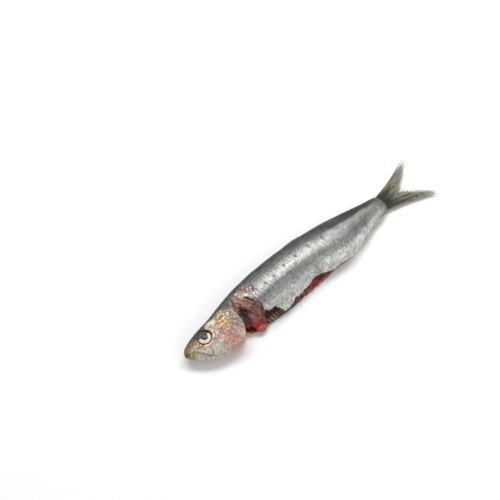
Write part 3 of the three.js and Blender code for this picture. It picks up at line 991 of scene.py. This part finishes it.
def eye_material():
    """A dark pupil in a cream ring that fades into shade above, inside a black rim."""
    n = Nodes("sardine_eye")
    radius, shade = n.attribute("radius"), n.attribute("shade")
    fibre = n.noise(0.35, 4.0, distortion=0.5)
    iris = n.mix(n.scaled(fibre, 0.35, 0.65), paint(198, 176, 150), paint(250, 240, 224))
    cover = n.scaled(shade, 0.08, 0.34)
    iris = n.mix(cover, iris, n.mix(fibre, paint(34, 36, 38), paint(66, 66, 62)))
    pupil = n.mix(cover, paint(66, 60, 70), paint(26, 26, 30))
    pupil = n.mix(n.scaled(radius, 0.25, 0.42), pupil, paint(36, 32, 36))
    colour = n.mix(n.scaled(radius, 0.42, 0.50), pupil, iris)
    rim = n.mix(n.scaled(fibre, 0.3, 0.7), paint(34, 30, 26), paint(66, 54, 42))
    rim = n.mix(n.scaled(n.attribute("front"), 0.55, 0.95), rim, paint(120, 102, 78))
    colour = n.mix(n.scaled(radius, 0.85, 0.91), colour, rim)
    normal = n.bump(fibre, 0.04, 0.3)
    return n.finish(colour, 0.4, normal, Coat_Weight=0.3, Coat_Roughness=0.05, Specular_IOR_Level=0.3)


def make_eye(name, node, side, material):
    """A lens-shaped eyeball: a domed pupil and a dished ring round it."""
    steps = np.linspace(0, 1, EYE_RINGS)
    dome = 1.5 * np.sqrt(np.maximum(1 - 0.94 * steps**2, 0)) * np.where(steps > 0.97, 0.85, 1)
    dome = dome + 0.14 * np.exp(-((steps / 0.42) ** 4)) - 0.08 * np.exp(-(((steps - 0.52) / 0.08) ** 2))
    turns = 2 * math.pi * np.arange(EYE_SPOKES) / EYE_SPOKES
    seat = along(MIDDLE_HEIGHT, EYE_X) + side * (along(HALF_THICKNESS, EYE_X) - 1.35)
    vertices, radius, shade, front = [], [], [], []
    for share, height in zip(steps[1:], dome[1:]):
        for t in turns:
            reach = EYE_RADIUS * share
            vertices.append((EYE_X + reach * math.cos(t), EYE_Y + reach * math.sin(t), seat + side * height))
            radius.append(share)
            shade.append(max(math.cos(t - 1.6), 0))
            front.append(max(math.cos(t - 3.1), 0))
    rings = len(steps) - 1
    faces = []
    for r in range(rings - 1):
        for k in range(EYE_SPOKES):
            a, b = r * EYE_SPOKES + k, r * EYE_SPOKES + (k + 1) % EYE_SPOKES
            faces.append((a, a + EYE_SPOKES, b + EYE_SPOKES, b))
    tip, base = len(vertices), len(vertices) + 1
    vertices += [(EYE_X, EYE_Y, seat + side * dome[0]), (EYE_X, EYE_Y, seat - side * 0.8)]
    radius += [0.0, 1.0]
    shade += [0.0, 0.0]
    front += [0.0, 0.0]
    last = (rings - 1) * EYE_SPOKES
    for k in range(EYE_SPOKES):
        faces.append((tip, k, (k + 1) % EYE_SPOKES))
        faces.append((base, last + (k + 1) % EYE_SPOKES, last + k))
    if side < 0:
        faces = [tuple(reversed(face)) for face in faces]
    extra = {"radius": radius, "shade": shade, "front": front}
    return piece(name, np.array(vertices), faces, material, [node], extra)


# ---- Fins ----

def fin_material():
    n = Nodes("sardine_fin")
    tint, ray = n.attribute("tint", "Color"), n.attribute("ray")
    mottle = n.noise(1.4, 5.0, distortion=0.5)
    colour = n.times(tint, n.scaled(mottle, 0.3, 0.7, 0.66, 1.34))
    colour = n.times(colour, n.scaled(ray, 0.1, 0.9, 0.55, 1.35))
    normal = n.bump(n.noise(0.4, 3.0), 0.06, 0.6)
    return n.finish(
        colour, 0.42, normal, Alpha=n.scaled(ray, 0.0, 0.5, 0.82, 1.0), Coat_Weight=0.25,
        Coat_Roughness=0.2,
    )


def two_sided(vertices, across, down):
    """The faces of a closed sheet whose points lie in a grid, first the upper side's and then the lower's."""
    count = across * down
    number = np.arange(count).reshape(across, down)
    top = np.stack([number[:-1, :-1], number[1:, :-1], number[1:, 1:], number[:-1, 1:]], -1).reshape(-1, 4)
    border = np.concatenate([number[:, 0], number[-1, 1:], number[-2::-1, -1], number[0, -2:0:-1]])
    after = np.roll(border, -1)
    rim = np.stack([border, border + count, after + count, after], 1)
    faces = np.concatenate([top, top[:, ::-1] + count, rim])
    one, two, three = vertices[top[0, :3]]
    return faces if np.cross(two - one, three - one)[2] > 0 else faces[:, ::-1]


def fin_sheet(name, node, material, roots, tips, rays, halves, tint_at, seed, sweep=0.0, fray=0.1):
    """A thin closed fin: rays run from the roots line to the tips line, with skin between them."""
    across, down = 26 * rays + 1, 56
    half_root, half_tip = halves
    u = np.linspace(0, 1, across)[:, None]
    v = np.linspace(0, 1, down)[None, :]
    flat = np.zeros((across, 1))
    wave = np.cos(2 * math.pi * rays * u) * 0.5 + 0.5
    number = np.round(u * rays)
    luck = noise(np.concatenate([number * 3.7, flat, flat], 1), 1.0, seed)[:, None]
    length = 1 + fray * (0.4 * luck - (1 - wave) * (1 + luck))
    start = np.array([np.interp(u[:, 0], *axis) for axis in roots]).T[:, None, :]
    end = np.array([np.interp(u[:, 0], *axis) for axis in tips]).T[:, None, :]
    share = (v * length)[:, :, None]
    plan = start + (end - start) * share
    bow = sweep * np.sin(math.pi * np.clip(v * length, 0, 1))
    plan[:, :, 1] += bow * (u - 0.5) * 2
    branch = np.cos(2 * math.pi * rays * 2 * u) * 0.5 + 0.5
    split = smoothstep(v, 0.35, 0.75)
    ray = wave * (1 - 0.6 * split) + 0.9 * branch * split * (0.4 + 0.6 * wave)
    half = (half_root + (half_tip - half_root) * v) * (0.45 + 0.75 * ray)
    # Fine joints across every ray.
    half = half * (1 - 0.12 * (np.sin(v * 150 + 3 * luck) > 0.8))
    rim = np.minimum(smoothstep(u, 0, 0.02), smoothstep(1 - u, 0, 0.02)) * smoothstep(1 - v, 0, 0.03)
    half = half * (0.35 + 0.65 * rim)
    middle = along(MIDDLE_HEIGHT, plan[:, :, 0])
    plan3 = np.concatenate([plan, np.zeros(plan.shape[:2] + (1,))], 2)
    ripple = 0.35 * noise(plan3, 7.0, seed + 1) * v + 0.12 * noise(plan3, 2.2, seed + 2) * v
    top = np.concatenate([plan, (middle + ripple + half)[:, :, None]], 2)
    low = np.concatenate([plan, (middle + ripple - half)[:, :, None]], 2)
    vertices = np.concatenate([top.reshape(-1, 3), low.reshape(-1, 3)])
    vertices[:, 2] = np.maximum(vertices[:, 2], 0)
    faces = two_sided(vertices, across, down)
    tint = tint_at(u + 0 * v, v + 0 * u, plan).reshape(-1, 3)
    extra = {"tint": np.concatenate([tint, tint]), "ray": np.tile(ray.ravel(), 2)}
    return piece(name, vertices, faces, material, [node], extra)


def tail_tint(u, v, plan):
    """Olive grey with streaks along the rays, a dark fork, pale frayed tips and a painted shadow line along
    the root.
    """
    shape = u.shape
    u, v, x = u.ravel(), v.ravel(), plan[:, :, 0].ravel()
    y = plan[:, :, 1].ravel()
    places = np.stack([x, y, 0 * x], 1)
    mottle = 0.5 + 0.5 * layered_noise(places * (0.4, 1, 1), 1.6, 93)
    tint = mixed((128, 124, 106), (90, 87, 72), mottle)
    tint = lay(tint, (126, 108, 92), 0.6 * spot(x, y, (150, 9), (5, 3)))
    streak = noise(np.stack([22 * u, 3 * v, 0 * u], 1), 1.0, 94)
    tint = lay(tint, (60, 59, 46), 0.65 * smoothstep(streak, 0.1, 0.6))
    tint = lay(tint, (176, 172, 152), 0.5 * before(streak, -0.7, -0.2))
    fork = np.hypot(x - 138.5, 0.8 * (y - 2.6))
    tint = lay(tint, (60, 62, 46), 0.9 * np.exp(-((fork / 3.6) ** 2)))
    crease = np.exp(-(((y - 2.6 - 0.16 * (x - 138)) / 0.9) ** 2)) * before(x, 143, 148)
    tint = lay(tint, (58, 60, 44), 0.8 * crease)
    tint = lay(tint, (84, 82, 68), 0.7 * smoothstep(u, 0.9, 1.0) * (0.5 + 0.5 * np.sin(2.2 * x)))
    tint = lay(tint, (176, 172, 154), 0.7 * smoothstep(v, 0.72, 1.0))
    # Painted shadow line along the fin's root, where the body meets it.
    tint = lay(tint, (86, 87, 70), 0.9 * before(x, 136.2, 138.2))
    return tint.reshape(shape + (3,))


def make_tail(material):
    roots = [([0, 0.5, 1], [132.6, 134.8, 132.6]), ([0, 0.5, 1], [7.2, 2.7, -1.6])]
    across = [0, 0.05, 0.12, 0.3, 0.46, 0.5, 0.54, 0.7, 0.88, 0.95, 1]
    tips = [
        (across, [162.0, 163.2, 161.6, 156.2, 150.0, 147.6, 150.4, 156.4, 162.4, 163.8, 163.4]),
        (across, [16.7, 15.2, 13.0, 9.0, 3.9, 2.4, 1.3, -3.4, -8.2, -10.0, -11.5]),
    ]
    return fin_sheet(
        "tail_fin_rays", "tail_fin", material, roots, tips, 19, (0.85, 0.16), tail_tint, 91,
        sweep=0.9, fray=0.16,
    )


def back_fin_tint(u, v, plan):
    shape = u.shape
    tint = np.tile(paint(50, 55, 50), (u.size, 1))
    return lay(tint, (92, 92, 78), 0.6 * smoothstep(v.ravel(), 0.5, 1)).reshape(shape + (3,))


def make_dorsal_fin(material):
    base_x = np.linspace(62, 76, 5)
    share = list(np.linspace(0, 1, 5))
    roots = [(share, list(base_x)), (share, list(along(BACK_LINE, base_x) - 0.5))]
    tip_x = np.array([78.0, 81.5, 84.0, 86.0, 87.5])
    lift = np.array([0.8, 0.9, 0.8, 0.6, 0.3])
    tips = [(share, list(tip_x)), (share, list(along(BACK_LINE, tip_x) + lift))]
    return fin_sheet(
        "dorsal_fin_rays", "dorsal_fin", material, roots, tips, 15, (0.9, 0.2), back_fin_tint, 95
    )


def belly_fin_tint(u, v, plan):
    return np.tile(paint(176, 172, 156), (u.size, 1)).reshape(u.shape + (3,))


def make_anal_fin(material):
    base_x = np.linspace(108, 129.5, 6)
    share = list(np.linspace(0, 1, 6))
    roots = [(share, list(base_x)), (share, list(along(BELLY_LINE, base_x) + 0.5))]
    drop = np.array([0.7, 1.1, 1.0, 0.9, 0.9, 0.6])
    tip_x = base_x + 2.0
    tips = [(share, list(tip_x)), (share, list(along(BELLY_LINE, tip_x) - drop))]
    return fin_sheet(
        "anal_fin_rays", "anal_fin", material, roots, tips, 18, (0.4, 0.12), belly_fin_tint, 99
    )


# ---- Gills, torn flesh and rib ends ----

def flesh_material():
    n = Nodes("sardine_flesh")
    lumps = n.noise(1.1, 5.0)
    tint = n.attribute("tint", "Color")
    shade = n.mix(n.scaled(lumps, 0.3, 0.7), (0.6, 0.5, 0.5), (1.35, 1.3, 1.3))
    colour = n.times(tint, shade)
    normal = n.bump(n.noise(0.6, 4.0), 0.12, 0.6)
    return n.finish(
        colour, 0.42, normal, Coat_Weight=0.35, Coat_Roughness=0.16, Subsurface_Weight=0.25,
        Subsurface_Scale=0.0012,
    )


def tubes(paths, radii, sides=6):
    """Closed tapering threads, one along each path."""
    vertices, faces = [], []
    for path, radius in zip(paths, radii):
        path = np.asarray(path, float)
        heading = np.gradient(path, axis=0)
        heading /= np.linalg.norm(heading, axis=1)[:, None]
        across = np.cross(heading, (0.13, 0.31, 0.94))
        across /= np.linalg.norm(across, axis=1)[:, None]
        up = np.cross(heading, across)
        start = len(vertices)
        for k, centre in enumerate(path):
            taper = radius * (1 - 0.75 * k / (len(path) - 1))
            for s in range(sides):
                t = 2 * math.pi * s / sides
                vertices.append(centre + taper * (math.cos(t) * across[k] + math.sin(t) * up[k]))
        for k in range(len(path) - 1):
            for s in range(sides):
                a, b = start + k * sides + s, start + k * sides + (s + 1) % sides
                faces.append((a, b, b + sides, a + sides))
        faces.append(tuple(start + s for s in reversed(range(sides))))
        end = start + (len(path) - 1) * sides
        faces.append(tuple(end + s for s in range(sides)))
    return np.array(vertices), faces


def make_gills(name, node, side, material):
    """Three rows of fine filaments on bowed arches under the gill cover."""
    paths, radii = [], []
    for arch in range(GILL_ARCHES):
        for k in range(GILL_FILAMENTS):
            share = k / (GILL_FILAMENTS - 1)
            y = 0.2 - 10.6 * share
            x = 24.6 + 1.3 * arch + 2.4 * math.sin(math.pi * share)
            left_over = along(HALF_THICKNESS, x) * math.sqrt(max(1 - section(x, y) ** 2, 0.05))
            z = along(MIDDLE_HEIGHT, x) + side * (left_over - 1.9 - 0.45 * arch)
            z = max(z, 1.5)
            out = 2.6 * (0.6 + 0.4 * math.sin(math.pi * share))
            sway = 0.25 * math.sin(5.1 * k + arch)
            steps = (0, 0.33, 0.66, 1)
            paths.append([(x + out * t, y - 0.3 * t + sway * t, z - side * 0.5 * t * t) for t in steps])
            radii.append(0.17)
    vertices, faces = tubes(paths, radii)
    tint = mixed((96, 16, 16), (150, 36, 32), 0.5 + 0.5 * noise(vertices, 2.0, 111))
    return piece(name, vertices, faces, material, [node], {"tint": tint})


def make_throat_flesh(material):
    f = Field((33, -15.6, -0.6), (45, -6.4, 6.6), 0.2)
    solid = np.full(f.x.shape, 9.0)
    lumps = [
        (38.9, -11.4, 2.6, 2.3), (41.4, -11.5, 2.2, 1.7), (38.0, -9.6, 3.2, 1.8),
        (40.0, -13.0, 1.8, 1.4),
    ]
    for x, y, z, radius in lumps:
        ball = np.sqrt((f.x - x) ** 2 + (f.y - y) ** 2 + 1.9 * (f.z - z) ** 2) - radius
        solid = either(solid, ball, 1.2)
    solid = both(solid, 0.2 - f.z, 0.3)
    vertices, quads = meshed(f, solid, 2)
    vertices = moved(vertices, quads, 0.55 * layered_noise(vertices, 1.6, 121))
    mottle = 0.5 + 0.5 * layered_noise(vertices, 1.6, 122)
    tint = mixed((122, 34, 30), (184, 72, 62), mottle)
    return piece("throat_lump", vertices, quads, material, ["throat_flesh"], {"tint": tint})


def skin_height(x, y):
    """How high the upper skin lies over the table."""
    rise = section(x, y)
    half = along(HALF_THICKNESS, x) * (1 + KEEL_TAPER * rise)
    return middle_height(x, rise) + half * math.sqrt(max(1 - rise**2, 0))


def rib_ends(rng):
    """Fine pale ribs that stand out of the lower wall of the cut belly."""
    for k in range(RIBS):
        x = 44.2 + 0.8 * k + 0.3 * rng.standard_normal()
        foot = along(BELLY_LINE, x) + 3.6 + 0.6 * rng.random()
        reach, rise = 2.6 + 1.0 * rng.random(), 0.3 * rng.random()
        lean, high = 0.5 + 0.3 * rng.random(), BELLY_WALL + 1.1
        steps = (0, 0.4, 0.75, 1)
        yield [(x + lean * t, foot - reach * t, high + rise * t - 0.5 * t * t) for t in steps]


def shreds(rng):
    """Threads of flesh and skin that hang from the torn edge of the upper wall."""
    edge_x, edge_y = np.array(TORN_EDGE, float).T
    for k in range(SHREDS):
        x = edge_x[0] + (edge_x[-1] - edge_x[0]) * (k + 0.6 * rng.random()) / SHREDS
        y = np.interp(x, edge_x, edge_y) + 0.3
        high = skin_height(x, y) - 0.9
        reach, lean = 0.8 + 1.3 * rng.random() ** 2, 0.9 * rng.standard_normal() * 0.5
        steps = (0, 0.35, 0.7, 1)
        yield [(x + lean * t, y - reach * t, high - 0.6 * t - 0.5 * t * t) for t in steps]


def make_threads(name, paths, radius, tints, seed, material):
    vertices, faces = tubes(paths, [radius * (0.8 + 0.06 * (k % 7)) for k in range(len(paths))])
    share = 0.5 + 0.7 * noise(vertices, 1.2, seed)
    tint = mixed(*tints, share)
    return piece(name, vertices, faces, material, [], {"tint": tint})


# ---- Setting, camera and light ----

def point(x, y, z):
    """A place in the frame, in metres, from the fish's own millimetres."""
    return Vector(((np.array([x, y, z]) + ORIGIN) * MM).tolist())


FLOOR_HALF, FLOOR_DROP = 3.0, 0.00005


def make_floor():
    mesh = bpy.data.meshes.new("floor")
    corners = [(FLOOR_HALF * a, FLOOR_HALF * b, 0) for a, b in ((-1, -1), (1, -1), (1, 1), (-1, 1))]
    mesh.from_pydata(corners, [], [(0, 1, 2, 3)])
    n = Nodes("floor_paper")
    mesh.materials.append(n.finish((0.94, 0.94, 0.94), 0.7, Specular_IOR_Level=0.2))
    floor = bpy.data.objects.new("floor", mesh)
    floor.location = (0, 0, CAD_LOW.z - FLOOR_DROP)
    bpy.context.scene.collection.objects.link(floor)


CAMERA_PLACE = (-131.4, -206.2, 527.2)
CAMERA_AZIMUTH, CAMERA_ELEVATION = math.radians(-40.05), math.radians(60)


def make_camera():
    """Looks down on the fish at 60 degrees from its belly side, ahead of the head."""
    camera = bpy.data.objects.new("camera", bpy.data.cameras.new("camera"))
    camera.data.lens = 85
    camera.data.clip_start = 0.01
    camera.location = point(*CAMERA_PLACE)
    camera.rotation_euler = (math.pi / 2 - CAMERA_ELEVATION, 0, CAMERA_AZIMUTH)
    bpy.context.scene.collection.objects.link(camera)
    bpy.context.scene.camera = camera


def make_area_light(name, place, size, power):
    data = bpy.data.lights.new(name, "AREA")
    data.shape = "RECTANGLE"
    data.size, data.size_y = size
    data.energy = power
    light = bpy.data.objects.new(name, data)
    light.location = place
    aim = point(70, 0, 5) - light.location
    light.rotation_euler = aim.to_track_quat("-Z", "Y").to_euler()
    bpy.context.scene.collection.objects.link(light)


def make_light():
    world = bpy.data.worlds.new("studio")
    world.use_nodes = True
    world.node_tree.nodes["Background"].inputs["Color"].default_value = (1, 1, 1, 1)
    world.node_tree.nodes["Background"].inputs["Strength"].default_value = 0.5
    bpy.context.scene.world = world
    bpy.context.scene.view_settings.view_transform = "Standard"
    make_area_light("softbox_back", (0.30, 0.40, 0.87), (1.1, 0.34), 8.0)
    make_area_light("softbox_front", (0.25, -0.75, 0.60), (1.0, 0.5), 1.5)


# ---- Everything ----

skin = skin_material()
flesh = flesh_material()
fin = fin_material()
eye = eye_material()

make_body(skin)
make_jaw(skin)
for side_name, side in (("left", 1), ("right", -1)):
    cover, lip_bone = f"{side_name}_gill_cover", f"{side_name}_maxilla"
    head_plate(f"{cover}_bone", cover, skin, GILL_COVER, side, COVER_THICKNESS, 0.12, cover_relief)
    head_plate(f"{lip_bone}_bone", lip_bone, skin, MAXILLA, side, MAXILLA_THICKNESS, 0.1, maxilla_relief)
    make_eye(f"{side_name}_eyeball", f"{side_name}_eye", side, eye)
    make_gills(f"{side_name}_filaments", f"{side_name}_gills", side, flesh)
make_throat_flesh(flesh)
threads = np.random.default_rng(7)
make_threads("rib_ends", list(rib_ends(threads)), 0.20, ((232, 208, 184), (176, 130, 104)), 131, flesh)
make_threads("torn_shreds", list(shreds(threads)), 0.17, ((150, 112, 92), (96, 58, 48)), 132, flesh)
make_tail(fin)
make_dorsal_fin(fin)
make_anal_fin(fin)
make_floor()
make_camera()
make_light()
